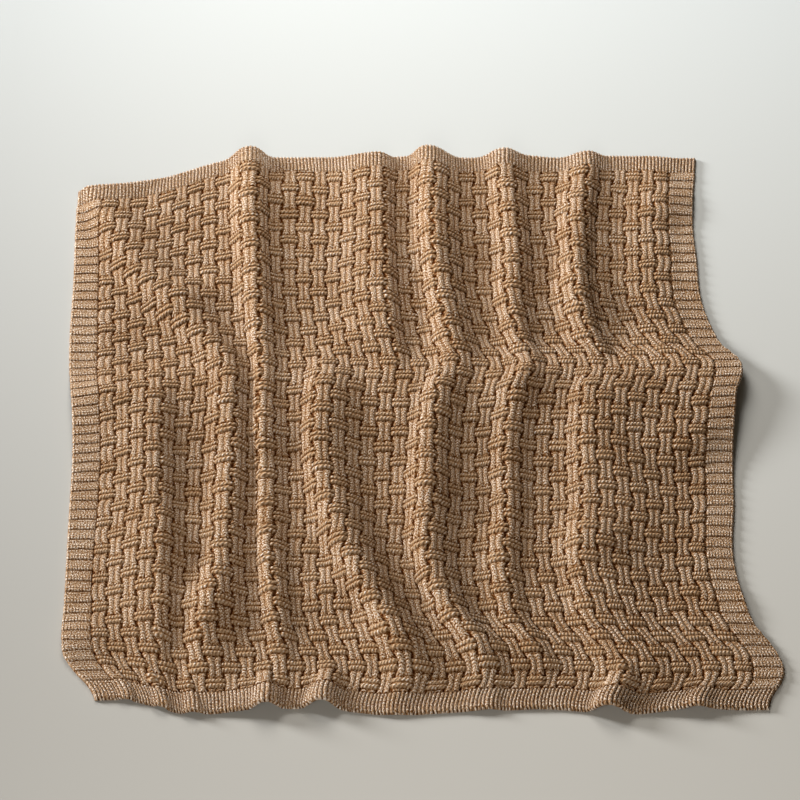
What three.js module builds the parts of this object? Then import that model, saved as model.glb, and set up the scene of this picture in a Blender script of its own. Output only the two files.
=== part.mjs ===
// A chunky knit throw blanket, laid out on a floor and a little gathered, so that long folds run down it.
// It is one cloth, knitted in one piece with its ribbed hems and its welted side borders, so it is one solid.
// Millimetres, +Z up. X runs across the throw, and the far hem lies towards +Y. The origin is under it.
//
// A place on the flat cloth is given by two lengths: across, from the left edge, and down, from the far hem.
// Each row of the cloth keeps its whole width as it rises and falls over the folds, so the throw is narrower
// where its folds are higher, as the real one is.
import * as THREE from "three";

// The cloth, laid flat
const WIDTH = 1270;
const LENGTH = 1524;
const SIDE_BORDER = 50.75;
const HEM = 46;
const COLUMNS = 41;
const COLUMN = (WIDTH - 2 * SIDE_BORDER) / COLUMNS;
const BANDS = 19; // in one column of the basket weave
const BAND_PITCH = (LENGTH - 2 * HEM) / BANDS;
const WELTS = 52; // in one side border
const WAIST = 3.5; // how far a band pushes the grooves beside it outwards

// How thick the knit is, from its back to its face
const THICK = { groove: 4.8, strand: 7.4, band: 10, weltGroove: 4.8, welt: 8, edge: 4.5, hem: 6.5 };

// The long folds. Each row is one fold, and each list holds its value at these lengths down the cloth.
const STATIONS = [0, 300, 550, 640, 730, 1000, 1260, 1390, LENGTH];
const FOLDS = [
  {
    name: "broad left",
    at: [150, 150, 150, 148, 148, 158, 172, 160, 150],
    high: [0, 0, 0, 5, 15, 22, 20, 9, 2],
    flanks: [130, 66],
  },
  {
    name: "corner",
    at: [24, 140, 256, 284, 294, 302, 274, 245, 240],
    high: [12, 20, 19, 17, 19, 18, 20, 10, 1],
    flanks: [66, 104],
  },
  {
    name: "far left",
    at: [349, 355, 363, 366, 369, 377, 390, 380, 370],
    high: [32, 30, 24, 15, 19, 20, 18, 8, 1],
    flanks: [64, 60],
  },
  {
    name: "upper middle",
    at: [608, 616, 618, 614, 600, 600, 600, 600, 600],
    high: [17, 22, 17, 5, 0, 0, 0, 0, 0],
    flanks: [120, 50],
  },
  {
    name: "bulging",
    at: [480, 480, 480, 482, 488, 501, 582, 604, 600],
    high: [0, 0, 0, 7, 22, 32, 30, 15, 2],
    flanks: [66, 112],
  },
  {
    name: "pinched",
    at: [720, 739, 736, 722, 706, 695, 722, 738, 736],
    high: [33, 31, 25, 13, 20, 26, 25, 11, 2],
    flanks: [64, 86],
  },
  {
    name: "faint",
    at: [886, 893, 876, 866, 858, 853, 839, 842, 845],
    high: [18, 22, 17, 9, 12, 15, 11, 4, 1],
    flanks: [64, 56],
  },
  {
    name: "right, far",
    at: [1052, 1031, 1018, 1010, 1000, 1000, 1000, 1000, 1000],
    high: [16, 27, 20, 0, 0, 0, 0, 0, 0],
    flanks: [74, 54],
  },
  {
    name: "right, near",
    at: [1000, 1000, 1000, 1000, 1003, 1004, 986, 974, 965],
    high: [0, 0, 0, 0, 14, 19, 14, 6, 1],
    flanks: [64, 210],
  },
  {
    name: "swell",
    at: [1190, 1180, 1165, 1150, 1150, 1140, 1130, 1130, 1130],
    high: [4, 6, 5, 2, 0, 0, 0, 0, 0],
    flanks: [88, 86],
  },
];

// Where the near hem stands off the floor in small arches, each growing towards the hem
const ARCH_REACH = 130;
const ARCHES = [
  { name: "left corner", at: 62, high: 6, flank: 26 },
  { name: "far left", at: 141, high: 8, flank: 28 },
  { name: "left", at: 217, high: 9, flank: 34 },
  { name: "left pair, small", at: 356, high: 20, flank: 42 },
  { name: "left pair, large", at: 466, high: 27, flank: 52 },
  { name: "middle", at: 760, high: 6, flank: 36 },
  { name: "right", at: 985, high: 27, flank: 58 },
  { name: "right corner", at: 1145, high: 7, flank: 36 },
];

// The soft ridge across the throw, and the lumps where the folds end near the near hem
const RIDGE = { at: 690, high: 32, before: 190, after: 300, leftShare: 0.4, rightShare: 0.8 };
const LUMPS = [
  { name: "under the corner fold", at: 250, down: 1265, high: 13, reach: 62 },
  { name: "under the bulging fold", at: 590, down: 1360, high: 15, reach: 74 },
  { name: "under the pinched fold", at: 738, down: 1375, high: 12, reach: 64 },
  { name: "by the right arch", at: 1010, down: 1420, high: 9, reach: 70 },
];

// The left edge's place across the floor at each station, and how the hems wander
const LEFT_EDGE = [-606, -602, -592, -587, -583, -577, -574, -568, -551];
const FAR_CORNER_DROP = 104; // the far left corner is drawn towards the middle
const FAR_CORNER_REACH = { across: 380, down: 1250 };
const NEAR_CORNER_LIFT = 22; // the near left corner is drawn in, and most of all sideways
const NEAR_CORNER_IN = 46;
const NEAR_CORNER_REACH = { across: 250, lift: 250, inwards: 140 };
const HEM_WANDER = { size: 5, reach: 260, wavelength: 410, start: 72 };

// How the cloth lies a little unevenly, as waves over it, each with so many turns across and down the cloth
const WAVES = {
  across: [
    { size: 2.4, turnsAcross: 2.3, turnsDown: 1.7, start: 0.15 },
    { size: 1.6, turnsAcross: -4.1, turnsDown: 3.2, start: 0.6 },
  ],
  along: [
    { size: 2.6, turnsAcross: 3.4, turnsDown: 0.8, start: 0.35 },
    { size: 1.8, turnsAcross: 6.2, turnsDown: 2.1, start: 0.8 },
  ],
  up: [
    { size: 1, turnsAcross: 3.1, turnsDown: 2.4, start: 0.05 },
    { size: 1, turnsAcross: -1.7, turnsDown: 4.3, start: 0.45 },
  ],
};
const LIFT = { size: 5, over: 0.7 }; // only the tops of the last two waves stand off the floor

// How a fold's flank bends, and how near the floor counts as lying on it
const STEEPEST_UP = 1.2; // over 1 puts a flank's steepest part nearer its crest
const STEEPEST_TILT = 1.4; // radians
const TALLEST_SHARE = 0.54; // of a flank's length
const NARROWING = 0.3; // how much narrower a fold is where it is lower, as a power
const CROWDING = 8; // how high a fold is when it takes its full room from its neighbours
const CONTACT = 0.4;
const STEP = 2; // between the points that a row is worked out from
const FLANK_PARTS = 48;

// The shape of one flank: the cloth's tilt at a share of its length, and how high that takes it
const flankTilt = (tilt, share) => tilt * Math.sin(Math.PI * share ** STEEPEST_UP);

function flankRise(tilt) {
  let sum = 0;
  for (let i = 0; i < FLANK_PARTS; i += 1) sum += Math.sin(flankTilt(tilt, (i + 0.5) / FLANK_PARTS));
  return sum / FLANK_PARTS;
}

// The tilt that lifts a flank by this share of its length
function tiltFor(share) {
  let low = 0;
  let high = STEEPEST_TILT;
  for (let i = 0; i < 30; i += 1) {
    const middle = (low + high) / 2;
    if (flankRise(middle) < share) low = middle;
    else high = middle;
  }
  return low;
}

// A smooth curve through one value for each station
function between(values, down) {
  const last = STATIONS.length - 1;
  const i = Math.min(Math.max(STATIONS.findLastIndex((v) => down >= v), 0), last - 1);
  const slope = (k) => {
    const a = Math.max(k - 1, 0);
    const b = Math.min(k + 1, last);
    return (values[b] - values[a]) / (STATIONS[b] - STATIONS[a]);
  };
  const span = STATIONS[i + 1] - STATIONS[i];
  const t = (down - STATIONS[i]) / span;
  const bend = values[i] + slope(i) * span * t;
  const other = values[i + 1] - slope(i + 1) * span * (1 - t);
  const blend = t * t * (3 - 2 * t);
  return bend * (1 - blend) + other * blend;
}

const smooth = (t) => THREE.MathUtils.smoothstep(t, 0, 1);

// The largest that a length may be, met gently
const softly = (value, most) => value / (1 + (value / most) ** 6) ** (1 / 6);

// A flank that shares its room with the one beside it, which counts in full once its own fold is high enough
function fitted(flank, beside, room, besideHigh) {
  const both = flank + beside;
  const fit = softly(both, room) / both;
  return flank * THREE.MathUtils.lerp(1, fit, smooth(besideHigh / CROWDING));
}

// The folds and arches that a row crosses, narrowed where they crowd each other
function foldsAcross(down) {
  const found = [];
  for (const fold of FOLDS) {
    const high = Math.max(between(fold.high, down), 0);
    const share = (high / Math.max(...fold.high)) ** NARROWING;
    const [left, right] = fold.flanks.map((flank) => flank * share);
    found.push({ at: between(fold.at, down), high, left, right });
  }
  const grown = smooth((down - LENGTH + ARCH_REACH) / ARCH_REACH);
  for (const arch of ARCHES) {
    const flank = arch.flank * grown ** NARROWING;
    found.push({ at: arch.at, high: arch.high * grown, left: flank, right: flank });
  }
  const shown = found.filter((fold) => fold.high > 0.5).sort((a, b) => a.at - b.at);
  const leftRim = { at: 0, high: CROWDING, left: 0, right: 0 };
  const rightRim = { ...leftRim, at: WIDTH };
  shown.forEach((fold, i) => {
    const before = shown[i - 1] ?? leftRim;
    const after = shown[i + 1] ?? rightRim;
    const left = fitted(fold.left, before.right, fold.at - before.at, before.high);
    const right = fitted(fold.right, after.left, after.at - fold.at, after.high);
    fold.fitted = { left, right };
  });
  for (const fold of shown) {
    fold.left = fold.fitted.left;
    fold.right = fold.fitted.right;
    fold.high = softly(fold.high, TALLEST_SHARE * Math.min(fold.left, fold.right));
    fold.leftTilt = tiltFor(fold.high / fold.left);
    fold.rightTilt = tiltFor(fold.high / fold.right);
  }
  return shown;
}

// One row of the cloth, as its places across and up at every step of its width
function rowSection(down) {
  const folds = foldsAcross(down);
  const across = [0];
  const up = [0];
  for (let s = STEP / 2; s < WIDTH; s += STEP) {
    let tilt = 0;
    for (const fold of folds) {
      const before = (s - fold.at) / fold.left + 1;
      const after = (fold.at - s) / fold.right + 1;
      if (before > 0 && before < 1) tilt += flankTilt(fold.leftTilt, before);
      if (after > 0 && after < 1) tilt -= flankTilt(fold.rightTilt, after);
    }
    across.push(across.at(-1) + STEP * Math.cos(tilt));
    up.push(up.at(-1) + STEP * Math.sin(tilt));
  }
  return { across, up };
}

const sections = new Map();
function sectionAt(down) {
  if (!sections.has(down)) sections.set(down, rowSection(down));
  return sections.get(down);
}

const read = (list, place) => {
  const i = Math.min(Math.floor(place / STEP), list.length - 2);
  return THREE.MathUtils.lerp(list[i], list[i + 1], place / STEP - i);
};

// The cloth's run from the far hem to the near one over the soft ridge, as lengths along the floor and up
const run = { along: [0], up: [0] };
const ridgeTilt = { before: tiltFor(RIDGE.high / RIDGE.before), after: tiltFor(RIDGE.high / RIDGE.after) };
for (let v = STEP / 2; v < LENGTH; v += STEP) {
  const before = (v - RIDGE.at) / RIDGE.before + 1;
  const after = (RIDGE.at - v) / RIDGE.after + 1;
  let tilt = 0;
  if (before > 0 && before < 1) tilt = flankTilt(ridgeTilt.before, before);
  if (after > 0 && after < 1) tilt = -flankTilt(ridgeTilt.after, after);
  run.along.push(run.along.at(-1) + STEP * Math.cos(tilt));
  run.up.push(run.up.at(-1) + STEP * Math.sin(tilt));
}

// The sum of one set of waves at a place on the cloth
function waves(list, s, down) {
  let sum = 0;
  for (const wave of list) {
    const turns = (wave.turnsAcross * s) / WIDTH + (wave.turnsDown * down) / LENGTH + wave.start;
    sum += wave.size * Math.sin(2 * Math.PI * turns);
  }
  return sum;
}

// A place on the back of the cloth
function backPoint(s, down) {
  const section = sectionAt(down);
  const ridgeShare = THREE.MathUtils.lerp(RIDGE.leftShare, RIDGE.rightShare, smooth(s / WIDTH));
  let up = read(section.up, s) + read(run.up, down) * ridgeShare;
  up += LIFT.size * Math.max(waves(WAVES.up, s, down) - LIFT.over, 0) ** 2;
  for (const lump of LUMPS) {
    const away = ((s - lump.at) ** 2 + (down - lump.down) ** 2) / lump.reach ** 2;
    up += lump.high * Math.exp(-away);
  }
  const farCorner = smooth(1 - s / FAR_CORNER_REACH.across) * smooth(1 - down / FAR_CORNER_REACH.down);
  const byLeft = smooth(1 - s / NEAR_CORNER_REACH.across);
  const lifted = NEAR_CORNER_LIFT * byLeft * smooth(1 - (LENGTH - down) / NEAR_CORNER_REACH.lift);
  const drawnIn = NEAR_CORNER_IN * byLeft * smooth(1 - (LENGTH - down) / NEAR_CORNER_REACH.inwards);
  const nearHem = smooth(1 - (LENGTH - down) / HEM_WANDER.reach);
  const wander = nearHem * Math.sin((2 * Math.PI * (s + HEM_WANDER.start)) / HEM_WANDER.wavelength);
  const edgeAcross = between(LEFT_EDGE, down) + drawnIn;
  const across = edgeAcross + read(section.across, s) + waves(WAVES.across, s, down);
  const along = FAR_CORNER_DROP * farCorner - lifted - HEM_WANDER.size * wander;
  const y = -read(run.along, down) - along + waves(WAVES.along, s, down);
  return new THREE.Vector3(across, y, Math.max(up - CONTACT, 0));
}

// The same place on the face, which is the knit's thickness away from the back, squarely
function facePoint(s, down, thick) {
  const left = Math.max(s - STEP, 0);
  const right = Math.min(s + STEP, WIDTH);
  const far = Math.max(down - STEP, 0);
  const near = Math.min(down + STEP, LENGTH);
  const rightwards = backPoint(right, down).sub(backPoint(left, down));
  const farwards = backPoint(s, far).sub(backPoint(s, near));
  return backPoint(s, down).addScaledVector(rightwards.cross(farwards).normalize(), thick);
}

// The surface is made of lines of points, and neighbouring lines are joined by strips of triangles
const points = [];
const triangles = [];

function addLine(places, toPoint) {
  return places.map((place) => {
    points.push(toPoint(place));
    return { index: points.length - 1, place: place.along };
  });
}

// Joins two lines whose points need not match. Seen from outside, the other line is left of the first one.
function join(one, other) {
  let i = 0;
  let j = 0;
  while (i < one.length - 1 || j < other.length - 1) {
    const stepOne = j === other.length - 1 || (i < one.length - 1 && one[i + 1].place <= other[j + 1].place);
    if (stepOne) {
      triangles.push(one[i].index, one[i + 1].index, other[j].index);
      i += 1;
    } else {
      triangles.push(one[i].index, other[j + 1].index, other[j].index);
      j += 1;
    }
  }
}

// Whether a column has a band at this half row of the basket weave
const hasBand = (column, halfRow) => (column + halfRow) % 2 === 0;

// The rows of the face: the hem, then a row through the middle of each line of bands, then the other hem
const faceRows = [{ down: 0 }, { down: HEM / 2 }, { down: HEM }];
for (let r = 0; r < 2 * BANDS; r += 1) {
  faceRows.push({ down: HEM + ((r + 0.5) * BAND_PITCH) / 2, halfRow: r });
}
faceRows.push({ down: LENGTH - HEM }, { down: LENGTH - HEM / 2 }, { down: LENGTH });

// One row of the face between the side borders: a groove, a crest, a groove, and so on
function basketRow(row) {
  const places = [];
  const woven = row.halfRow !== undefined;
  const atHem = row.down < HEM || row.down > LENGTH - HEM;
  for (let line = 0; line <= 2 * COLUMNS; line += 1) {
    const column = Math.floor(line / 2);
    const groove = line % 2 === 0;
    const inner = line > 0 && line < 2 * COLUMNS;
    let shift = 0;
    let thick = THICK.groove;
    if (woven && groove && inner) shift = hasBand(column, row.halfRow) ? -WAIST : WAIST;
    if (woven && !groove) thick = hasBand(column, row.halfRow) ? THICK.band : THICK.strand;
    if (atHem) thick = THICK.hem;
    const s = SIDE_BORDER + (line * COLUMN) / 2 + shift;
    places.push({ along: s, s, down: row.down, thick });
  }
  return places;
}

const onFace = (place) => facePoint(place.s, place.down, place.thick);
const onBack = (place) => backPoint(place.s, place.down);

const basket = faceRows.map((row) => addLine(basketRow(row), onFace));
for (let r = 1; r < basket.length; r += 1) join(basket[r], basket[r - 1]);

// The side borders have a row on every welt and in every groove between two, and their edges only the latter
const weltRows = [
  { down: 0, thick: THICK.hem },
  { down: HEM / 2, thick: THICK.hem },
];
for (let i = 0; i <= 2 * WELTS; i += 1) {
  const down = HEM + ((LENGTH - 2 * HEM) * i) / (2 * WELTS);
  weltRows.push({ down, thick: i % 2 === 0 ? THICK.weltGroove : THICK.welt });
}
weltRows.push({ down: LENGTH - HEM / 2, thick: THICK.hem }, { down: LENGTH, thick: THICK.hem });
const edgeRows = [];
for (const { down, thick } of weltRows) {
  if (thick !== THICK.welt) edgeRows.push({ down, thick: THICK.edge });
}

function borderLine(s, rows) {
  const places = rows.map(({ down, thick }) => ({ along: down, s, down, thick }));
  return addLine(places, onFace);
}

// A line of the basket's points down one of its sides
function sideOf(column) {
  return basket.map((line, r) => ({ index: line.at(column).index, place: faceRows[r].down }));
}

const leftEdge = borderLine(0, edgeRows);
const leftMiddle = borderLine(SIDE_BORDER / 2, weltRows);
const rightMiddle = borderLine(WIDTH - SIDE_BORDER / 2, weltRows);
const rightEdge = borderLine(WIDTH, edgeRows);
join(leftEdge, leftMiddle);
join(leftMiddle, sideOf(0));
join(sideOf(-1), rightMiddle);
join(rightMiddle, rightEdge);

// The back is plain. Its lines run under the face's grooves, and its rows are closer by the arches of the hem.
const BACK_ROW = 56;
const BACK_ROW_BY_HEM = 28;
const backRows = [0];
while (backRows.at(-1) < LENGTH - ARCH_REACH) backRows.push(backRows.at(-1) + BACK_ROW);
while (backRows.at(-1) < LENGTH - BACK_ROW_BY_HEM) backRows.push(backRows.at(-1) + BACK_ROW_BY_HEM);
backRows.push(LENGTH);
const backLines = [0];
for (let column = 0; column <= COLUMNS; column += 1) backLines.push(SIDE_BORDER + column * COLUMN);
backLines.push(WIDTH);
const back = backRows.map((down) => addLine(backLines.map((s) => ({ along: s, s, down })), onBack));
for (let r = 1; r < back.length; r += 1) join(back[r - 1], back[r]);

// The rim: the two edges and the two hems
const backSide = (column) => back.map((line, r) => ({ index: line.at(column).index, place: backRows[r] }));
const wholeRow = (r, border) => [
  { index: leftEdge.at(border).index, place: 0 },
  { index: leftMiddle.at(border).index, place: SIDE_BORDER / 2 },
  ...basket.at(r),
  { index: rightMiddle.at(border).index, place: WIDTH - SIDE_BORDER / 2 },
  { index: rightEdge.at(border).index, place: WIDTH },
];
join(backSide(0), leftEdge);
join(rightEdge, backSide(-1));
join(wholeRow(0, 0), back.at(0));
join(back.at(-1), wholeRow(-1, -1));

const geometry = new THREE.BufferGeometry().setFromPoints(points);
geometry.setIndex(triangles);
geometry.computeBoundingBox();
const middle = geometry.boundingBox.getCenter(new THREE.Vector3());
geometry.translate(-middle.x, -middle.y, -geometry.boundingBox.min.z);
geometry.computeVertexNormals();

const yarn = new THREE.MeshStandardMaterial({ color: "#ab8a68", roughness: 0.92, metalness: 0 });
const throwBlanket = new THREE.Mesh(geometry, yarn);
throwBlanket.name = "throw";

const group = new THREE.Group();
group.add(throwBlanket);
export default group;
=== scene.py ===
# %% [markdown]
# A chunky knit throw blanket, laid out on a pale floor and seen from above. The real throw is one cloth,
# knitted in one go: a basket weave of thick cords in the middle, a border of cross ridges down each side,
# and a ribbed hem at each end. It lies lightly gathered, so long soft folds run down it. We build it in two
# layers. First comes the lie of the cloth: a smooth sheet with the folds that the solid in the frame has.
# Then the knit is raised on that sheet by Geometry Nodes, because its cords repeat by a rule. The single
# stitches are too small for faces, so the yarn's material gives them as a fine bump.

# %% The frame
import math
from collections import namedtuple

import bpy
import numpy as np
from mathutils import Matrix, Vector


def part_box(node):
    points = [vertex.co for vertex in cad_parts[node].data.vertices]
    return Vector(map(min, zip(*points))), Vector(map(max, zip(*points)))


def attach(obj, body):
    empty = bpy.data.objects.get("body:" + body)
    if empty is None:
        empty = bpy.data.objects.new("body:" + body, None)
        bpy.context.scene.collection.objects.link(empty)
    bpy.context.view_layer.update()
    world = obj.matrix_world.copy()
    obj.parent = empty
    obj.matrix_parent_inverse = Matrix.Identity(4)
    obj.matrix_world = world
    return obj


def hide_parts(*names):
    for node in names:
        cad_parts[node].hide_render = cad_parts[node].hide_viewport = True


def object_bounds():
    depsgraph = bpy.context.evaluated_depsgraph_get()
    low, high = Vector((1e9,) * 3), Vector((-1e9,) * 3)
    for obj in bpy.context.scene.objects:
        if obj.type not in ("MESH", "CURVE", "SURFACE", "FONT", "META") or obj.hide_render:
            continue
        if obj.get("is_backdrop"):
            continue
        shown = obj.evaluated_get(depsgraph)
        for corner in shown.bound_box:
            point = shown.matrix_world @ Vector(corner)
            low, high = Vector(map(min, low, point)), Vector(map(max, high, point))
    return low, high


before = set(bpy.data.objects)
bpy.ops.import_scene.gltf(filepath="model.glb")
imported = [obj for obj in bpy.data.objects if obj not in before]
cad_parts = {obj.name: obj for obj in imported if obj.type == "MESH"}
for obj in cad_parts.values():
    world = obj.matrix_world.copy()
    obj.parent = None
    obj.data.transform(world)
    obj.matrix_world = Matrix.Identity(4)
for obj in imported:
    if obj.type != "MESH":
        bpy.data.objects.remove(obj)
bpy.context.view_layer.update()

# %% [markdown]
# The sizes are those of the part's own source, here in metres. A place on the flat cloth has two lengths:
# across, from the left edge, and down, from the far hem. Everything below is worked out from these two.

# %% Sizes of the cloth and its knit
WIDTH = 1.270
LENGTH = 1.524
SIDE_BORDER = 0.05075
HEM = 0.046
BODY = LENGTH - 2 * HEM
COLUMNS = 41
COLUMN = (WIDTH - 2 * SIDE_BORDER) / COLUMNS
BANDS = 19  # in one column of the basket weave
BAND_PITCH = BODY / BANDS
FIRST_BAND = 0.25  # of a pitch from the far hem, in the first column
STAGGER = 0.5  # of a pitch, by which every second column starts lower
WELTS = 52  # cross ridges in one side border
WELT_PITCH = BODY / WELTS
RIBS = 190  # in one hem
RIB = WIDTH / RIBS
WAIST = 0.0041  # how far a band pushes the grooves beside it outwards
ABRUPTNESS = 1.9  # how quickly that push turns into the next column's
STRAND_REACH = 0.0134  # half a strand's width
STRAND_SQUEEZE = 0.0023  # what the neighbours' bands take off that
ROPE = 0.0054  # half the width of each of a band's two ropes
STITCH = 0.0070  # the length of a knit stitch down a cord
ROPE_STITCH = 0.0048  # from one stitch of a rope to the next
print("column", round(COLUMN * 1000, 1), "mm, band every", round(BAND_PITCH * 1000, 1), "mm")
print("rib", round(RIB * 1000, 1), "mm, border ridge every", round(WELT_PITCH * 1000, 1), "mm")

# %% [markdown]
# The lie of the cloth. Each long fold has a crest that wanders across the cloth, a height that changes down
# it, and two flanks. On a real cloth nothing stretches: where a fold rises, the row is drawn in. So each row
# is worked out from its tilt, step by step: a step forward is the cosine of the tilt, and a step up is its
# sine.

# %% The folds, in millimetres
W, L = WIDTH * 1000, LENGTH * 1000
STATIONS = np.array([0, 300, 550, 640, 730, 1000, 1260, 1390, 1524], float)  # down the cloth

Fold = namedtuple("Fold", "name left right crest high")  # two flanks, then a value for each station
FOLDS = [
    Fold("broad left", left=130, right=66,
         crest=[150, 150, 150, 148, 148, 158, 172, 160, 150],
         high=[0, 0, 0, 5, 15, 22, 20, 9, 2]),
    Fold("corner", left=66, right=104,
         crest=[24, 140, 256, 284, 294, 302, 274, 245, 240],
         high=[12, 20, 19, 17, 19, 18, 20, 10, 1]),
    Fold("far left", left=64, right=60,
         crest=[349, 355, 363, 366, 369, 377, 390, 380, 370],
         high=[32, 30, 24, 15, 19, 20, 18, 8, 1]),
    Fold("upper middle", left=120, right=50,
         crest=[608, 616, 618, 614, 600, 600, 600, 600, 600],
         high=[17, 22, 17, 5, 0, 0, 0, 0, 0]),
    Fold("bulging", left=66, right=112,
         crest=[480, 480, 480, 482, 488, 501, 582, 604, 600],
         high=[0, 0, 0, 7, 22, 32, 30, 15, 2]),
    Fold("pinched", left=64, right=86,
         crest=[720, 739, 736, 722, 706, 695, 722, 738, 736],
         high=[33, 31, 25, 13, 20, 26, 25, 11, 2]),
    Fold("faint", left=64, right=56,
         crest=[886, 893, 876, 866, 858, 853, 839, 842, 845],
         high=[18, 22, 17, 9, 12, 15, 11, 4, 1]),
    Fold("right, far", left=74, right=54,
         crest=[1052, 1031, 1018, 1010, 1000, 1000, 1000, 1000, 1000],
         high=[16, 27, 20, 0, 0, 0, 0, 0, 0]),
    Fold("right, near", left=64, right=210,
         crest=[1000, 1000, 1000, 1000, 1003, 1004, 986, 974, 965],
         high=[0, 0, 0, 0, 14, 19, 14, 6, 1]),
    Fold("swell", left=88, right=86,
         crest=[1190, 1180, 1165, 1150, 1150, 1140, 1130, 1130, 1130],
         high=[4, 6, 5, 2, 0, 0, 0, 0, 0]),
]

# %% The small arches of the near hem, in millimetres
ARCH_REACH = 130
Arch = namedtuple("Arch", "name at high flank")
ARCHES = [
    Arch("left corner", 62, 6, 26),
    Arch("far left", 141, 8, 28),
    Arch("left", 217, 9, 34),
    Arch("left pair, small", 356, 20, 42),
    Arch("left pair, large", 466, 27, 52),
    Arch("middle", 760, 6, 36),
    Arch("right", 985, 27, 58),
    Arch("right corner", 1145, 7, 36),
]

# %% How the cloth bends over a fold
STEEPEST_UP = 1.2  # over 1 puts a flank's steepest part nearer its crest
STEEPEST_TILT = 1.4  # radians
TALLEST_SHARE = 0.54  # of a flank's length
NARROWING = 0.3  # how much narrower a fold is where it is lower, as a power
CROWDING = 8  # how high a fold is when it takes its full room from its neighbours
LOWEST = 0.5  # a fold under this height is left out
BLUNTNESS = 6  # how late a value bends away as it nears its most
STEP = 2.0  # between the points that a row is worked out from
FLANK_PARTS, TILT_COUNT = 48, 600  # in the table of rises that the tilts are found from


def flank_tilt(tilt, share):
    return tilt * np.sin(np.pi * share**STEEPEST_UP)


parts = (np.arange(FLANK_PARTS) + 0.5) / FLANK_PARTS
tilts = np.linspace(0, STEEPEST_TILT, TILT_COUNT)
rises = np.sin(flank_tilt(tilts[:, None], parts[None])).mean(1)


def tilt_for(share):
    """The tilt that lifts the cloth by this share of its flank."""
    return np.interp(share, rises, tilts)


def tilt_over(places, crest, left, right, up, fall):
    """The tilt at each place on the way over one crest."""
    before = (places - crest) / left + 1
    after = (crest - places) / right + 1
    rising = np.where((before > 0) & (before < 1), flank_tilt(up, np.clip(before, 0, 1)), 0)
    return rising - np.where((after > 0) & (after < 1), flank_tilt(fall, np.clip(after, 0, 1)), 0)


def smooth(t):
    t = np.clip(t, 0, 1)
    return t * t * (3 - 2 * t)


def between(values, down):
    """A smooth curve through one value for each station."""
    values = np.asarray(values, float)
    last = len(STATIONS) - 1
    before = np.maximum(np.arange(last + 1) - 1, 0)
    after = np.minimum(np.arange(last + 1) + 1, last)
    slopes = (values[after] - values[before]) / (STATIONS[after] - STATIONS[before])
    i = np.clip(np.searchsorted(STATIONS, down, side="right") - 1, 0, last - 1)
    span = STATIONS[i + 1] - STATIONS[i]
    t = (down - STATIONS[i]) / span
    onwards = values[i] + slopes[i] * span * t
    backwards = values[i + 1] - slopes[i + 1] * span * (1 - t)
    blend = smooth(t)
    return onwards * (1 - blend) + backwards * blend


def softly(value, most):
    """Comes close to the most, and never passes it."""
    return value / (1 + (value / most) ** BLUNTNESS) ** (1 / BLUNTNESS)


def fitted(flank, beside, room, beside_high):
    """A flank that shares its room with the one beside it, once that one's fold is high enough."""
    both = flank + beside
    return flank * (1 + (softly(both, room) / both - 1) * smooth(beside_high / CROWDING))


# %% One row of the cloth
def folds_across(down):
    """The row's folds from left to right: each crest, its two flanks, and the tilts up and down them."""
    found = []
    for fold in FOLDS:
        tall = max(float(between(fold.high, down)), 0)
        share = (tall / max(fold.high)) ** NARROWING
        found.append([float(between(fold.crest, down)), tall, fold.left * share, fold.right * share])
    grown = float(smooth((down - L + ARCH_REACH) / ARCH_REACH))
    for arch in ARCHES:
        flank = arch.flank * grown**NARROWING
        found.append([arch.at, arch.high * grown, flank, flank])
    shown = [[0, CROWDING, 0, 0], *sorted(f for f in found if f[1] > LOWEST), [W, CROWDING, 0, 0]]
    folds = []
    for before, (at, tall, left, right), after in zip(shown, shown[1:], shown[2:]):
        left = fitted(left, before[3], at - before[0], before[1])
        right = fitted(right, after[2], after[0] - at, after[1])
        tall = softly(tall, TALLEST_SHARE * min(left, right))
        folds.append((at, left, right, tilt_for(tall / left), tilt_for(tall / right)))
    return folds


def along(tilt):
    """How far the cloth gets over the floor, and how high, after each step of a tilted way."""
    return np.append(0, np.cumsum(STEP * np.cos(tilt))), np.append(0, np.cumsum(STEP * np.sin(tilt)))


def row_section(down):
    places = np.arange(STEP / 2, W, STEP)
    tilt = np.zeros_like(places)
    for fold in folds_across(down):
        tilt += tilt_over(places, *fold)
    return along(tilt)


print(len(FOLDS), "folds and", len(ARCHES), "arches")
print("at mid length a row is", round(row_section(L / 2)[0][-1]), "mm wide")

# %% [markdown]
# The whole sheet is worked out once, as a grid with a point every 2 mm. A soft ridge crosses all the folds,
# with less height on the left. Lumps, drawn-in corners and long low waves keep the cloth from lying too
# evenly. Anything that lies on the cloth later asks this grid for its place, and for the direction that
# stands square to the cloth there.

# %% Ridge, lumps, corners and waves, in millimetres
RIDGE_AT, RIDGE_HIGH, RIDGE_BEFORE, RIDGE_AFTER = 690, 32, 190, 300
RIDGE_LEFT, RIDGE_RIGHT = 0.4, 0.8  # the share of its height at each side of the cloth
Lump = namedtuple("Lump", "name at down high reach")
LUMPS = [
    Lump("under the corner fold", 250, 1265, 13, 62),
    Lump("under the bulging fold", 590, 1360, 15, 74),
    Lump("under the pinched fold", 738, 1375, 12, 64),
    Lump("by the right arch", 1010, 1420, 9, 70),
]
LEFT_EDGE = [-606, -602, -592, -587, -583, -577, -574, -568, -551]  # a place for each station
FAR_CORNER_DROP, FAR_CORNER_ACROSS, FAR_CORNER_DOWN = 104, 380, 1250
NEAR_CORNER_ACROSS = 250
NEAR_CORNER_LIFT, NEAR_CORNER_LIFT_REACH = 22, 250
NEAR_CORNER_IN, NEAR_CORNER_IN_REACH = 46, 140
HEM_WANDER, HEM_WANDER_REACH, HEM_WANDER_LENGTH, HEM_WANDER_START = 5, 260, 410, 72
Wave = namedtuple("Wave", "size turns_across turns_down start")
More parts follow.
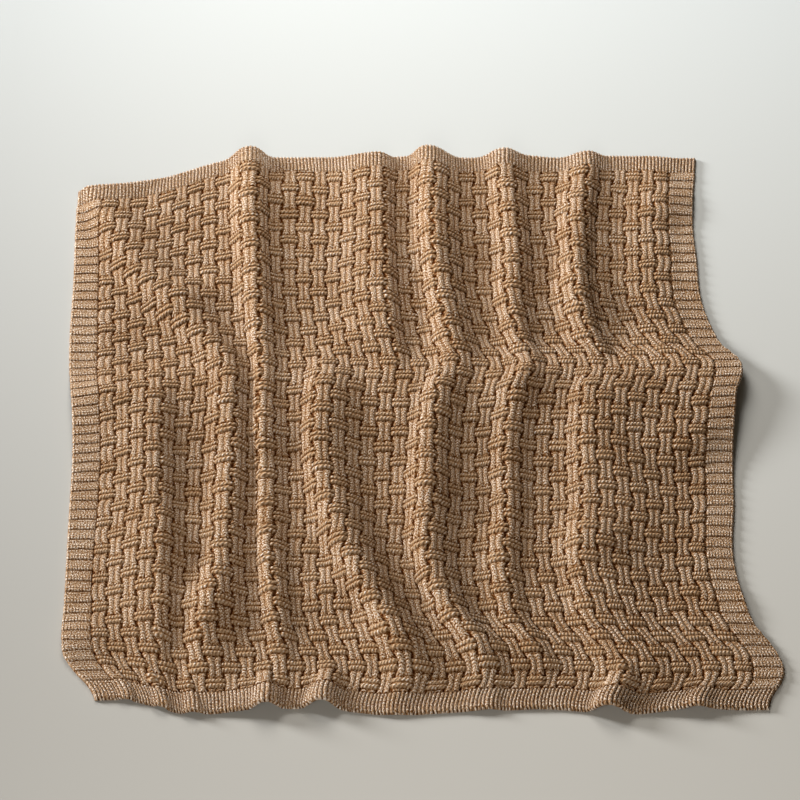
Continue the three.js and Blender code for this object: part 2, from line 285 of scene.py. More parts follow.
WAVES = {
    "across": [Wave(2.4, 2.3, 1.7, 0.15), Wave(1.6, -4.1, 3.2, 0.6)],
    "along": [Wave(2.6, 3.4, 0.8, 0.35), Wave(1.8, 6.2, 2.1, 0.8)],
    "up": [Wave(1, 3.1, 2.4, 0.05), Wave(1, -1.7, 4.3, 0.45)],
}
LIFT_SIZE, LIFT_OVER = 5, 0.7  # only the tops of the last two waves stand off the floor
CONTACT = 0.4  # what is lower than this lies on the floor

# %% The sheet as a grid of points on the back of the cloth
down_grid = np.arange(0, L + STEP / 2, STEP)
across_grid = np.arange(0, W + STEP / 2, STEP)
s_mm, v_mm = across_grid[None, :], down_grid[:, None]
sections = [row_section(v) for v in down_grid]
across = np.array([a for a, _ in sections])
up = np.array([u for _, u in sections])


def waves(kind):
    turns = [w.turns_across * s_mm / W + w.turns_down * v_mm / L + w.start for w in WAVES[kind]]
    return sum(w.size * np.sin(2 * np.pi * t) for w, t in zip(WAVES[kind], turns))


ridge_tilts = tilt_for(RIDGE_HIGH / RIDGE_BEFORE), tilt_for(RIDGE_HIGH / RIDGE_AFTER)
ridge = tilt_over(np.arange(STEP / 2, L, STEP), RIDGE_AT, RIDGE_BEFORE, RIDGE_AFTER, *ridge_tilts)
run_along, run_up = [run[:, None] for run in along(ridge)]
up = up + run_up * (RIDGE_LEFT + (RIDGE_RIGHT - RIDGE_LEFT) * smooth(s_mm / W))
up += LIFT_SIZE * np.maximum(waves("up") - LIFT_OVER, 0) ** 2
for lump in LUMPS:
    up += lump.high * np.exp(-((s_mm - lump.at) ** 2 + (v_mm - lump.down) ** 2) / lump.reach**2)

far_corner = FAR_CORNER_DROP * smooth(1 - s_mm / FAR_CORNER_ACROSS) * smooth(1 - v_mm / FAR_CORNER_DOWN)
from_near_hem = L - v_mm
by_left = smooth(1 - s_mm / NEAR_CORNER_ACROSS)
lifted = NEAR_CORNER_LIFT * by_left * smooth(1 - from_near_hem / NEAR_CORNER_LIFT_REACH)
drawn_in = NEAR_CORNER_IN * by_left * smooth(1 - from_near_hem / NEAR_CORNER_IN_REACH)
wander_turns = (s_mm + HEM_WANDER_START) / HEM_WANDER_LENGTH
hem_wander = HEM_WANDER * smooth(1 - from_near_hem / HEM_WANDER_REACH) * np.sin(2 * np.pi * wander_turns)
sheet_x = between(LEFT_EDGE, down_grid)[:, None] + across + drawn_in + waves("across")
sheet_y = -run_along - far_corner + lifted + hem_wander + waves("along")
sheet = np.stack([sheet_x, sheet_y, np.maximum(up - CONTACT, 0)], axis=-1) / 1000
square = np.cross(np.gradient(sheet, axis=1), -np.gradient(sheet, axis=0))
square /= np.linalg.norm(square, axis=-1, keepdims=True)

# %% The sheet is put where the solid is
THICKNESS = 0.006  # the knit's, on the whole
outer = sheet + THICKNESS * square
low = np.minimum(sheet, outer).reshape(-1, 3).min(0)
high = np.maximum(sheet, outer).reshape(-1, 3).max(0)
solid_low, solid_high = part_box("throw")
shift = [(solid_low[i] + solid_high[i] - low[i] - high[i]) / 2 for i in range(2)]
sheet[..., 0] += shift[0]
sheet[..., 1] += shift[1]
print("sheet, mm:", [round(1000 * (high[i] - low[i])) for i in range(3)])
print("moved by, mm:", [round(1000 * x) for x in shift])


# %% [markdown]
# Real knitting is never quite even: columns lean a little and bands sit a little high or low. A soft wander,
# made from random numbers with a fixed seed on a coarse lattice, moves the places on the cloth by a
# millimetre or two. It fades out at the rims, so that they stay where the solid's are.

# %% Places on the cloth, with the knit's own unevenness
LEAN, LEAN_PITCH, LEAN_SEED = 0.0011, 0.034, 11  # of the columns
DRIFT, DRIFT_PITCH, DRIFT_SEED = 0.0019, 0.029, 12  # of the bands
STEADY_RIM = 0.03
SPARE_NODES = 4


def wander(across_m, down_m, pitch, seed):
    """A soft random number from -1 to 1 that changes over about one pitch."""
    shape = int(LENGTH / pitch) + SPARE_NODES, int(WIDTH / pitch) + SPARE_NODES
    nodes = np.random.default_rng(seed).uniform(-1, 1, shape)
    a, d = np.clip(across_m / pitch + 1, 0, None), np.clip(down_m / pitch + 1, 0, None)
    i, j = np.floor(d).astype(int), np.floor(a).astype(int)
    p, q = smooth(d - i), smooth(a - j)
    near = nodes[i, j] * (1 - q) + nodes[i, j + 1] * q
    far = nodes[i + 1, j] * (1 - q) + nodes[i + 1, j + 1] * q
    return near * (1 - p) + far * p


def look_up(field, across_m, down_m):
    a, d = across_m * 1000 / STEP, down_m * 1000 / STEP
    j = np.clip(np.floor(a).astype(int), 0, field.shape[1] - 2)
    i = np.clip(np.floor(d).astype(int), 0, field.shape[0] - 2)
    p, q = (d - i)[..., None], (a - j)[..., None]
    near = field[i, j] * (1 - q) + field[i, j + 1] * q
    far = field[i + 1, j] * (1 - q) + field[i + 1, j + 1] * q
    return near * (1 - p) + far * p


def on_cloth(across_m, down_m):
    """The place on the back of the cloth, and the direction that stands square to it."""
    to_rim = np.minimum.reduce([across_m, WIDTH - across_m, down_m, LENGTH - down_m])
    inside = smooth(to_rim / STEADY_RIM)
    a = across_m + inside * LEAN * wander(across_m, down_m, LEAN_PITCH, LEAN_SEED)
    d = down_m + inside * DRIFT * wander(across_m, down_m, DRIFT_PITCH, DRIFT_SEED)
    normal = look_up(square, a, d)
    return look_up(sheet, a, d), normal / np.linalg.norm(normal, axis=-1, keepdims=True)


# %% [markdown]
# Node trees, for shapes and for materials alike, are written as sums. A small class wraps a socket and
# turns each plus, minus or times into a Math node. Every other kind of node comes from one function, which
# sets the node's settings first and then the values or links of its sockets.

# %% Sums that build node trees
class Wire:
    def __init__(self, tree, socket):
        self.tree, self.socket = tree, socket

    def math(self, operation, *others, clamp=False):
        values = dict(enumerate((self, *others)))
        return node(self.tree, "ShaderNodeMath", {"operation": operation, "use_clamp": clamp}, values)

    def __add__(self, other):
        return self.math("ADD", other)

    def __sub__(self, other):
        return self.math("SUBTRACT", other)

    def __rsub__(self, other):
        return node(self.tree, "ShaderNodeMath", {"operation": "SUBTRACT"}, {0: other, 1: self})

    def __mul__(self, other):
        return self.math("MULTIPLY", other)

    def __truediv__(self, other):
        return self.math("DIVIDE", other)

    def __pow__(self, other):
        return self.math("POWER", other)

    def __abs__(self):
        return self.math("ABSOLUTE")

    __radd__, __rmul__ = __add__, __mul__

    def most(self, other):
        return self.math("MAXIMUM", other)

    def least(self, other):
        return self.math("MINIMUM", other)

    def under(self, other):
        return self.math("LESS_THAN", other)

    def share(self, pitch):
        return (self / pitch).math("FRACT")

    def clamped(self):
        return self.math("ADD", 0.0, clamp=True)


def set_stops(stops, wanted):
    """A new ramp has two stops of its own. The first is moved, and the last is taken out."""
    stops.remove(stops[-1])
    for number, (at, colour) in enumerate(wanted):
        stop = stops.new(at) if number else stops[0]
        stop.position = at
        stop.color = colour


def node(tree, kind, settings=None, values=None, out=0):
    made = tree.nodes.new(kind)
    for name, value in (settings or {}).items():
        if name == "stops":
            set_stops(made.color_ramp.elements, value)
        else:
            setattr(made, name, value)
    for key, value in (values or {}).items():
        if isinstance(value, Wire):
            tree.links.new(value.socket, made.inputs[key])
        else:
            made.inputs[key].default_value = value
    return Wire(tree, made.outputs[out])


def parts_of(tree, vector):
    """The three parts of a vector, as sums can use them."""
    outputs = node(tree, "ShaderNodeSeparateXYZ", None, {0: vector}).socket.node.outputs
    return [Wire(tree, output) for output in outputs]


def round_top(x, middle, reach, fullness=2):
    """The upper half of a round cord that lies across x. A greater fullness makes it broader at its top."""
    return (1 - abs((x - middle) / reach) ** fullness).most(0.0).math("SQRT")


def bell(x, reach):
    """1 at x = 0, and next to nothing past twice the reach."""
    return (0 - (x / reach) ** 2).math("EXPONENT")


def basket_cell(across, down):
    """The way to the groove and to the strand's side, 0 to 1 each, and the length to the band's middle."""
    place = (across - SIDE_BORDER) / COLUMN
    column = place.math("FLOOR")
    odd = (column / 2).math("FRACT") * 2
    turns = (down - HEM) / BAND_PITCH - FIRST_BAND - odd * STAGGER
    push = ((turns * math.tau).math("COSINE") * ABRUPTNESS).math("TANH") / math.tanh(ABRUPTNESS)
    to_groove = abs((place - column) * 2 - 1)
    strand = push.least(0.0) * STRAND_SQUEEZE + STRAND_REACH
    to_side = to_groove * (push * WAIST + COLUMN / 2) / strand
    from_band = abs(turns - turns.math("ROUND")) * BAND_PITCH
    return to_groove, to_side, from_band


# %% [markdown]
# The relief of the knit follows a rule, so Geometry Nodes raise it. Each part of the knit has one small
# tree, with its sizes as named inputs. It reads where a point lies on the flat cloth, works out how high the
# cord stands there, and moves the point that far, square to the cloth. It also stores the share of the
# height, so that the material can darken the yarn deep in the grooves: partly painted shade, where little
# light gets in, and partly the darker look of the packed yarn.

# %% A tree that raises a knit
BACK_DEPTH = 0.6  # the share of the height that the plain back is toned for


def relief_tree(name, sizes, height):
    tree = bpy.data.node_groups.new(name, "GeometryNodeTree")
    tree.is_modifier = True
    sockets = tree.interface
    sockets.new_socket("Cloth", in_out="INPUT", socket_type="NodeSocketGeometry")
    sockets.new_socket("Yarn", in_out="INPUT", socket_type="NodeSocketMaterial")
    for label, value in sizes.items():
        socket = sockets.new_socket(label, in_out="INPUT", socket_type="NodeSocketFloat")
        socket.default_value = value
    sockets.new_socket("Knit", in_out="OUTPUT", socket_type="NodeSocketGeometry")
    entry = tree.nodes.new("NodeGroupInput")
    cloth, yarn_in = Wire(tree, entry.outputs["Cloth"]), Wire(tree, entry.outputs["Yarn"])
    size = {label: Wire(tree, entry.outputs[label]) for label in sizes}

    vector = {"data_type": "FLOAT_VECTOR"}
    place = node(tree, "GeometryNodeInputNamedAttribute", vector, {"Name": "place"})
    square_to = node(tree, "GeometryNodeInputNamedAttribute", vector, {"Name": "square"})
    across, down, on_face = parts_of(tree, place)
    tall, rim = height(across, down, size)
    lift = {0: square_to, "Scale": tall * rim * on_face}
    offset = node(tree, "ShaderNodeVectorMath", {"operation": "SCALE"}, lift)
    moved = node(tree, "GeometryNodeSetPosition", None, {"Geometry": cloth, "Offset": offset})
    # the share of the height, which the material turns into painted groove shade
    raised = ((tall - size["Groove"]) / (size["Top"] - size["Groove"])).clamped()
    depth = raised * on_face + (1 - on_face) * BACK_DEPTH
    stored = node(
        tree,
        "GeometryNodeStoreNamedAttribute",
        {"data_type": "FLOAT", "domain": "POINT"},
        {"Geometry": moved, "Name": "depth", "Value": depth},
    )
    real = node(tree, "GeometryNodeRealizeInstances", None, {"Geometry": stored})
    ended = node(tree, "GeometryNodeSetMaterial", None, {"Geometry": real, "Material": yarn_in})
    tree.links.new(ended.socket, tree.nodes.new("NodeGroupOutput").inputs["Knit"])
    print(name, "has", len(tree.nodes), "nodes and the sizes", ", ".join(sizes))
    return tree


# %% [markdown]
# The basket weave. Each column is a strand of two round cords. Every 75 mm a band of two ropes crosses it,
# half a pitch lower in the next column, and the band's ends dive into the grooves. A strand also sinks just
# before it goes under its band. Where two heights compete, the taller one wins, just as the yarn on top
# hides the yarn below.

# %% The basket weave's height
BETWEEN_CORDS = 0.66  # how high the yarn stands between a strand's two cords, as a share of their height
DIP, DIP_AT, DIP_REACH = 0.66, 2.25, 0.0028  # a strand's dip by its band: share, rope radii away, reach
BETWEEN_ROPES = 0.4  # the same share between a band's two ropes
CORD_FULLNESS, ROPE_FULLNESS, ARCH_FULLNESS = 3, 2.5, 4.5
END_REACH, END_SHARE = 0.003, 0.6  # the weave is lower where it meets the hems


def basket_height(across, down, size):
    to_groove, to_side, from_band = basket_cell(across, down)
    rope = size["Rope radius"]
    cords = round_top(to_side, 0.5, 0.5, CORD_FULLNESS).most(to_side.under(0.5) * BETWEEN_CORDS)
    dip = 1 - DIP * bell(from_band - rope * DIP_AT, DIP_REACH)
    strand = cords * dip * size["Strand height"]
    ropes = round_top(from_band, rope, rope, ROPE_FULLNESS).most(BETWEEN_ROPES)
    on_band = from_band.under(rope * 2)
    arch = (1 - to_groove**ARCH_FULLNESS).most(0.0).math("SQRT")
    band = ropes * on_band * arch * size["Band height"]
    to_end = (down - HEM).least(LENGTH - HEM - down) / END_REACH
    ends = to_end.clamped() * (1 - END_SHARE) + END_SHARE
    return size["Groove"] + strand.most(band) * ends, 1.0


BASKET_SIZES = {
    "Groove": 0.0048,
    "Top": 0.0097,
    "Strand height": 0.0037,
    "Band height": 0.0053,
    "Rope radius": ROPE,
}
basket_tree = relief_tree("Basket weave", BASKET_SIZES, basket_height)


# %% [markdown]
# The side borders are cross ridges, which overlap like scales: each swells quickly and then falls away to a
# dark line. The hems are ribs, thin upright cords side by side. Both are rounded off towards the cloth's
# rim, and both sink where they meet the basket weave.

# %% The height of the side borders
WELT_RIM, WELT_RIM_LEAST = 0.009, 0.3
WELT_SEAM = 0.004
SELVEDGE, SELVEDGE_HIGH = 0.0022, 0.0016  # half the width of the thin cord at the very edge
SWELL, SWELL_FULLNESS = 0.66, 12  # the broad part of a ridge
SHOULDER_AT, SHOULDER_REACH = 0.72, 0.26  # the higher part, nearer the next ridge


def rounded(distance, reach, least):
    """Grows from least at the rim to 1 at the reach, like the corner of a round edge."""
    inwards = (distance / reach).clamped()
    return least + (1 - least) * (1 - (1 - inwards) ** 2).most(0.0).math("SQRT")


def welt_height(across, down, size):
    share = (down - HEM).share(WELT_PITCH)
    broad = (1 - abs(share * 2 - 1) ** SWELL_FULLNESS).most(0.0).math("SQRT")
    swell = broad * SWELL + round_top(share, SHOULDER_AT, SHOULDER_REACH) * (1 - SWELL)
    from_edge = across.least(WIDTH - across)
    to_body = (SIDE_BORDER - across).most(across - (WIDTH - SIDE_BORDER))
    seam = (to_body / WELT_SEAM).clamped().math("SQRT")
    selvedge = round_top(from_edge, SELVEDGE, SELVEDGE) * SELVEDGE_HIGH
    tall = size["Groove"] + swell * size["Ridge height"] * seam + selvedge
    return tall, rounded(from_edge, WELT_RIM, WELT_RIM_LEAST)


WELT_SIZES = {"Groove": 0.0046, "Top": 0.0078, "Ridge height": 0.0036}
welt_tree = relief_tree("Side border ridges", WELT_SIZES, welt_height)

# %% The height of the hems
RIB_RIM, RIB_RIM_LEAST = 0.0045, 0.3
RIB_SIDE, RIB_SIDE_LEAST = 0.005, 0.35
RIB_SEAM, RIB_SEAM_SHARE = 0.003, 0.6


def rib_height(across, down, size):
    cord = round_top(across.share(size["Rib"]), 0.5, 0.5)
    rim = rounded(down.least(LENGTH - down), RIB_RIM, RIB_RIM_LEAST)
    side = rounded(across.least(WIDTH - across), RIB_SIDE, RIB_SIDE_LEAST)
    to_body = (HEM - down).most(down - (LENGTH - HEM))
    seam = (to_body / RIB_SEAM).clamped() * (1 - RIB_SEAM_SHARE) + RIB_SEAM_SHARE
    return size["Groove"] + size["Base"] + cord * seam * size["Rib height"], rim * side


RIB_SIZES = {"Groove": 0.0022, "Top": 0.0076, "Base": 0.0016, "Rib height": 0.0036, "Rib": RIB}
rib_tree = relief_tree("Hem ribs", RIB_SIZES, rib_height)


# %% [markdown]
# The yarn. It looks like wool in a light camel, matt and heathered: single hairs are lighter or darker than
# their neighbours. On the real throw the tone also falls off quickly in the grooves, where little light gets
# in and the yarn is packed, so here the grooves are painted darker: partly painted shade, and partly the
# packed yarn's own darker look. So the tone follows the depth that Geometry Nodes stored, then the stitches,
# then the hairs. It is looked up in a ramp. The lightest hair tips go towards white, and the few places past
# the end of the ramp take its last tone, which is a plain light camel.

# %% The yarn's tones, from the bottom of a groove to the lightest hair tip
# The darkest tones, for the bottoms of grooves and creases, are painted shade.
TONES = [  # the place in the ramp, and the colour there
    (0.00, (0.046, 0.007, 0.000, 1)),
    (0.26, (0.140, 0.043, 0.003, 1)),
    (0.55, (0.362, 0.219, 0.112, 1)),
    (0.80, (0.560, 0.405, 0.275, 1)),
    (1.00, (1.000, 1.000, 1.000, 1)),  # just before the end
    (1.00, (0.725, 0.580, 0.438, 1)),  # at the end and past it
]
OPEN_DEPTH, DEPTH_CURVE = 0.74, 0.9  # above this share of the height the yarn is fully open to the light
# Painted shade: the tone starts dark at the bottom of a groove and grows lighter as the yarn rises out of it.
DARKEST = 0.03  # the tone at the bottom of a groove, to which the next four add
GROOVE_SHADE_TONE, STITCH_TONE, HAIR_TONE, CLOUD_TONE = 0.46, 0.26, 1.9, 0.2
HAIR_GRAIN = 0.66  # hairs are longer down the cloth than across it
HAIR_NOISE = {"Scale": 430.0, "Detail": 2.0, "Roughness": 0.55, "Distortion": 0.0}
CLOUD_NOISE = {"Scale": 14.0, "Detail": 2.0, "Roughness": 0.5}
BUMP, BUMP_DISTANCE, HAIR_BUMP = 0.9, 0.0014, 0.8


def yarn(name, stitches):
    material = bpy.data.materials.new(name)
    material.use_nodes = True
    tree = material.node_tree
    tree.nodes.clear()
    flat = node(tree, "ShaderNodeUVMap", {"uv_map": "knit"})
    across, down, _ = parts_of(tree, flat)
    depth = node(tree, "ShaderNodeAttribute", {"attribute_name": "depth"}, None, out="Fac")
    loops, rough = stitches(across, down)
    grain = node(tree, "ShaderNodeCombineXYZ", None, {0: across, 1: down * HAIR_GRAIN})
    plane = {"noise_dimensions": "2D"}
    hairs = node(tree, "ShaderNodeTexNoise", plane, {"Vector": grain, **HAIR_NOISE})
    clouds = node(tree, "ShaderNodeTexNoise", plane, {"Vector": flat, **CLOUD_NOISE})
    # painted shade in the grooves, lighter as the yarn rises
    lit = (depth / OPEN_DEPTH).clamped() ** DEPTH_CURVE * GROOVE_SHADE_TONE
    heather = (hairs - 0.5) * rough * HAIR_TONE + (clouds - 0.5) * CLOUD_TONE
    tone = lit + loops * STITCH_TONE + heather + DARKEST
    ramp = node(tree, "ShaderNodeValToRGB", {"stops": TONES}, {0: tone.clamped()})
    relief = {"Strength": BUMP, "Distance": BUMP_DISTANCE, "Height": loops + hairs * HAIR_BUMP}
    shader = node(
        tree,
        "ShaderNodeBsdfPrincipled",
        None,
        {
            "Base Color": ramp,
            "Normal": node(tree, "ShaderNodeBump", None, relief),
            "Roughness": 0.95,
            "Specular IOR Level": 0.02,
            "Sheen Weight": 0.03,
            "Sheen Roughness": 0.6,
            "Sheen Tint": (0.86, 0.70, 0.54, 1),
        },
    )
    tree.links.new(shader.socket, tree.nodes.new("ShaderNodeOutputMaterial").inputs[0])
    print(name, "has", len(tree.nodes), "nodes")
    return material


# %% [markdown]
# The stitches. A knit stitch looks like a small V, so a cord of knit stitches is a column of leaning strokes
# that meet in the middle. The strokes fade at a column's sides, which paints shade, in the tone and the bump,
# as a thin dark line in the crease between cords. On a band the loops lie the other way and read as a rope,
# with its strokes all leaning one way, and a dark line of painted shade parts its two ropes, in the crease
# between them. Purl rows, low on each cross ridge, read as rows of dots. Each function gives the strokes,
# and how much of the hairs' contrast to keep.

# %% The three kinds of stitch
# The fade at a V's sides paints a thin dark line of shade in the crease between cords.
V_SLANT, V_EDGE_SHADE, V_EDGE_POWER = 0.6, 0.85, 5  # how far a V leans, and how it fades at its sides
STRAND_STROKES = 0.9
ROPE_SLANT, ROPE_POWER, ROPE_STROKES, ROPE_DARKER = 0.38, 1.3, 1.1, 0.05
# Painted shade: a dark line in the crease between a band's two ropes.
PARTING_SHADE, PARTING_SHADE_REACH = 0.5, 0.0021  # the dark line between a band's two ropes
ROPE_CALM = 0.5  # how much of the hairs' contrast a band loses
PURL_FROM, PURL_PITCH = 0.52, 0.0056  # a share of the ridge, and from dot to dot
PURL_ROWS, PURL_STROKES = 4, 1.3  # rows to a whole ridge
BORDER_CORD, BORDER_STROKES = 0.0042, 0.75  # the width of a column of knit stitches in a border


def strokes(phase):
    return abs((phase * math.pi).math("SINE"))


def chain(x, down):
    """Knit stitches: x is 0 to 1 over the width of one column of stitches."""
    lean = abs(x - 0.5) * 2
    # the strokes fade at the sides: painted shade in the crease between cords
    return strokes(down / STITCH - lean * V_SLANT) * (1 - lean**V_EDGE_POWER * V_EDGE_SHADE)


def basket_stitches(across, down):
    _, to_side, from_band = basket_cell(across, down)
    on_band = from_band.under(ROPE * 2)
    # painted shade in the crease between the ropes
    parting_shade = bell(from_band, PARTING_SHADE_REACH)
    twist = strokes((across + down * ROPE_SLANT) / ROPE_STITCH) ** ROPE_POWER * ROPE_STROKES - ROPE_DARKER
    rope = twist * (1 - parting_shade) - parting_shade * PARTING_SHADE
    strand = chain(to_side.clamped(), down) * STRAND_STROKES
    return on_band * rope + (1 - on_band) * strand, 1 - on_band * ROPE_CALM


def welt_stitches(across, down):
    share = (down - HEM).share(WELT_PITCH)
    purl = 1 - share.under(PURL_FROM)
    rows = strokes((down - HEM) / (WELT_PITCH / PURL_ROWS))
    dots = strokes(across / PURL_PITCH) * rows * PURL_STROKES
    return purl * dots + (1 - purl) * chain(across.share(BORDER_CORD), down) * BORDER_STROKES, 1.0


def rib_stitches(across, down):
    return chain(across.share(RIB), down), 1.0


basket_yarn = yarn("Camel yarn, basket weave", basket_stitches)
welt_yarn = yarn("Camel yarn, side borders", welt_stitches)
rib_yarn = yarn("Camel yarn, hems", rib_stitches)


# %% [markdown]
# Each piece of the knit starts as a lattice: rows and columns of points on the cloth, closer together where
# the relief turns quickly. Every point keeps its place on the flat cloth and its square direction for the
# node tree. A coarser lattice makes the back, and strips of triangles close the four sides, so that each
# piece is a closed body with a thickness, as cloth has.

# %% Strips and squares between points
SAME_PLACE = 1e-9  # places closer than this count as one


def zipped(face_line, face_at, back_line, back_at, turned):
    """Triangles between a fine line of points and a coarse one that run the same way."""
    i = j = 0
    found = []
    while i < len(face_line) - 1 or j < len(back_line) - 1:
        face_left, back_left = i < len(face_line) - 1, j < len(back_line) - 1
        if not back_left or (face_left and face_at[i + 1] <= back_at[j + 1] + SAME_PLACE):
            found.append((face_line[i], back_line[j], face_line[i + 1]))
            i += 1
        else:
            found.append((face_line[i], back_line[j], back_line[j + 1]))
            j += 1
    found = np.array(found)
    return found[:, ::-1] if turned else found


def quads(index):
    corners = [index[:-1, :-1], index[1:, :-1], index[1:, 1:], index[:-1, 1:]]
    return np.stack(corners, -1).reshape(-1, 4)


# %% A second layout of each piece, for the materials' bake
BAKE_GAP, BAKE_EDGE, BAKE_WIDE = 0.014, 0.01, 0.98
BAKE_FACE_TALL, BAKE_BACK_TALL, BAKE_BACK_FROM = 0.77, 0.19, 0.80
WALL_FLAP = 0.004


def bake_map(flat, back, beyond, faces_of_loops, long_axis, cuts):
    """Lays the piece out in the unit square: the long way is cut into lengths that lie side by side."""
    long, short = flat[:, long_axis], flat[:, 1 - long_axis]
    centre = np.bincount(faces_of_loops, long) / np.bincount(faces_of_loops)
    part = np.clip(np.searchsorted(cuts, centre) - 1, 0, len(cuts) - 2)[faces_of_loops]
    wide, tall = np.ptp(short), np.diff(cuts).max()
    x = short - short.min() + beyond[:, 1 - long_axis] + part * (wide + BAKE_GAP) + BAKE_GAP / 2
    y = long - cuts[part] + beyond[:, long_axis] + BAKE_GAP / 2
    total = (len(cuts) - 1) * (wide + BAKE_GAP)
    face_scale = min(BAKE_WIDE / total, BAKE_FACE_TALL / (tall + BAKE_GAP))
    back_scale = min(BAKE_WIDE / total, BAKE_BACK_TALL / (tall + BAKE_GAP))
    scale = np.where(back, back_scale, face_scale)
    return np.stack([BAKE_EDGE + x * scale, np.where(back, BAKE_BACK_FROM, BAKE_EDGE) + y * scale], -1)


# %% [markdown]
# The node tree works on the lattice's own object. What it makes is copied into a plain mesh in a new object,
# and the lattice goes, modifier and all, because the finished piece has to be a mesh and nothing else.

# %% From a lattice to a plain mesh
def vectors(mesh, label, values):
    attribute = mesh.attributes.new(label, "FLOAT_VECTOR", "POINT")
    attribute.data.foreach_set("vector", values.astype(np.float32).ravel())


def raised_piece(name, mesh, tree, material):
    """The lattice after its node tree, as a plain mesh in an object of its own."""
    lattice = bpy.data.objects.new(name + " lattice", mesh)
    bpy.context.scene.collection.objects.link(lattice)
    modifier = lattice.modifiers.new("Knit relief", "NODES")
    modifier.node_group = tree
    modifier[tree.interface.items_tree["Yarn"].identifier] = material
    graph = bpy.context.evaluated_depsgraph_get()
    raised = lattice.evaluated_get(graph)
    made = bpy.data.meshes.new_from_object(raised, preserve_all_data_layers=True, depsgraph=graph)
    lattice.modifiers.clear()
    bpy.data.objects.remove(lattice)
    made.name = name
    for label in ("place", "square"):
        made.attributes.remove(made.attributes[label])
    piece = bpy.data.objects.new(name, made)
    bpy.context.scene.collection.objects.link(piece)
    made.calc_loop_triangles()
    print(name, len(made.loop_triangles), "triangles,", len(made.materials), "material")
    return piece


# %% A closed piece of cloth
Lattice = namedtuple("Lattice", "flat_across place_across down place_down back_rows back_columns")


def cloth_piece(name, lattice, tree, material, long_axis, lengths):
    flat_across, place_across, down, place_down, back_rows, back_columns = lattice
    rows, columns = down.shape
    points, squares = on_cloth(place_across, place_down)
    face = np.arange(rows * columns).reshape(rows, columns)
    rear = rows * columns + np.arange(len(back_rows) * len(back_columns)).reshape(len(back_rows), -1)
    pick = np.ix_(back_rows, back_columns)

    def both(values):
        on_rear = values[pick].reshape(rear.size, -1)
        return np.concatenate([values.reshape(rows * columns, -1), on_rear])

    flat = both(np.stack([flat_across, down], -1))
    on_face = np.append(np.ones(face.size), np.zeros(rear.size))
    d, a = down[:, 0], flat_across[0]
    walls = [
        zipped(face[:, 0], d, rear[:, 0], d[back_rows], False),
        zipped(face[:, -1], d, rear[:, -1], d[back_rows], True),
        zipped(face[0], a, rear[0], a[back_columns], True),
        zipped(face[-1], a, rear[-1], a[back_columns], False),
    ]
    outwards = [(-WALL_FLAP, 0), (WALL_FLAP, 0), (0, -WALL_FLAP), (0, WALL_FLAP)]
    front, behind = quads(face), quads(rear)[:, ::-1]
    mesh = bpy.data.meshes.new(name)
    mesh.from_pydata(both(points), [], front.tolist() + behind.tolist() + np.concatenate(walls).tolist())

    loops = np.concatenate([front.ravel(), behind.ravel(), *[w.ravel() for w in walls]])
    sizes = np.concatenate([np.full(len(front) + len(behind), 4), np.full(sum(map(len, walls)), 3)])
    is_back = np.zeros(len(loops), bool)
    is_back[front.size : front.size + behind.size] = True
    beyond = np.zeros((len(loops), 2))
    at = front.size + behind.size
    for wall, outward in zip(walls, outwards):
        beyond[at : at + wall.size] = np.where((wall.ravel() >= face.size)[:, None], outward, 0)
        at += wall.size
    long_line = d[back_rows] if long_axis == 1 else a[back_columns]
    cuts = long_line[np.round(np.linspace(0, len(long_line) - 1, lengths + 1)).astype(int)]
    faces_of_loops = np.repeat(np.arange(len(sizes)), sizes)
    laid = bake_map(flat[loops], is_back, beyond, faces_of_loops, long_axis, cuts)
    mesh.uv_layers.new(name="knit").data.foreach_set("uv", flat[loops].astype(np.float32).ravel())
    mesh.uv_layers.new(name="OFBake").data.foreach_set("uv", laid.astype(np.float32).ravel())
    vectors(mesh, "place", np.column_stack([flat, on_face]))
    vectors(mesh, "square", both(squares))

    rim = np.zeros(len(on_face), bool)
    for grid in (face, rear):
        for line in (grid[:, 0], grid[:, -1], grid[0], grid[-1]):
            rim[line] = True
    ends = np.zeros(len(mesh.edges) * 2, np.int32)
    mesh.edges.foreach_get("vertices", ends)
    mesh.shade_smooth()
    sharp = mesh.attributes.new("sharp_edge", "BOOLEAN", "EDGE")
    sharp.data.foreach_set("value", rim[ends.reshape(-1, 2)].all(1))
    return raised_piece(name, mesh, tree, material)


# %% [markdown]
# The body is cut into lengthwise panels, so that each piece stays under 200,000 triangles. The cuts run down
# the bottoms of grooves between columns, where the real cloth has a dark line anyway, so no joint shows.

# %% Rows and lines of points over the basket weave
STRAND_LINES = np.array([0, 0.1, 0.28, 0.5, 0.76, 0.93, 1.0])  # on the way to the strand's side
BAND_LINES = np.array([0, 0.25, 0.5, 0.72, 0.86, 0.94, 0.985])  # on the way to the groove
BAND_HALF = np.array([2.0, 5.3, 7.9, 10.2, 11.2, 13.8]) / 1000  # rows of points, from a band's middle
BY_BAND = np.concatenate([-BAND_HALF[::-1], [0], BAND_HALF])
BY_HEM = np.array([0.0007, 0.0018])
BAND_EDGE = 0.0110  # a row nearer than this lies on the band
JUST_BEFORE = 1e-7  # to find a row by its place, in spite of rounding
PANELS = 6

half_pitch = BAND_PITCH / 2
row_starts = HEM + half_pitch * np.arange(2 * BANDS + 1)
centres = HEM + half_pitch * (np.arange(2 * BANDS) + 0.5)
by_ends = np.concatenate([HEM + BY_HEM, LENGTH - HEM - BY_HEM])
body_rows = np.sort(np.concatenate([row_starts, (centres[:, None] + BY_BAND).ravel(), by_ends]))
back_rows_at = np.sort(np.concatenate([row_starts, centres]))
back_body_rows = np.searchsorted(body_rows, back_rows_at - JUST_BEFORE)


def push_for(turns):
    """1 at a column's band, and -1 where its neighbours have theirs."""
    return np.tanh(ABRUPTNESS * np.cos(2 * np.pi * turns)) / np.tanh(ABRUPTNESS)


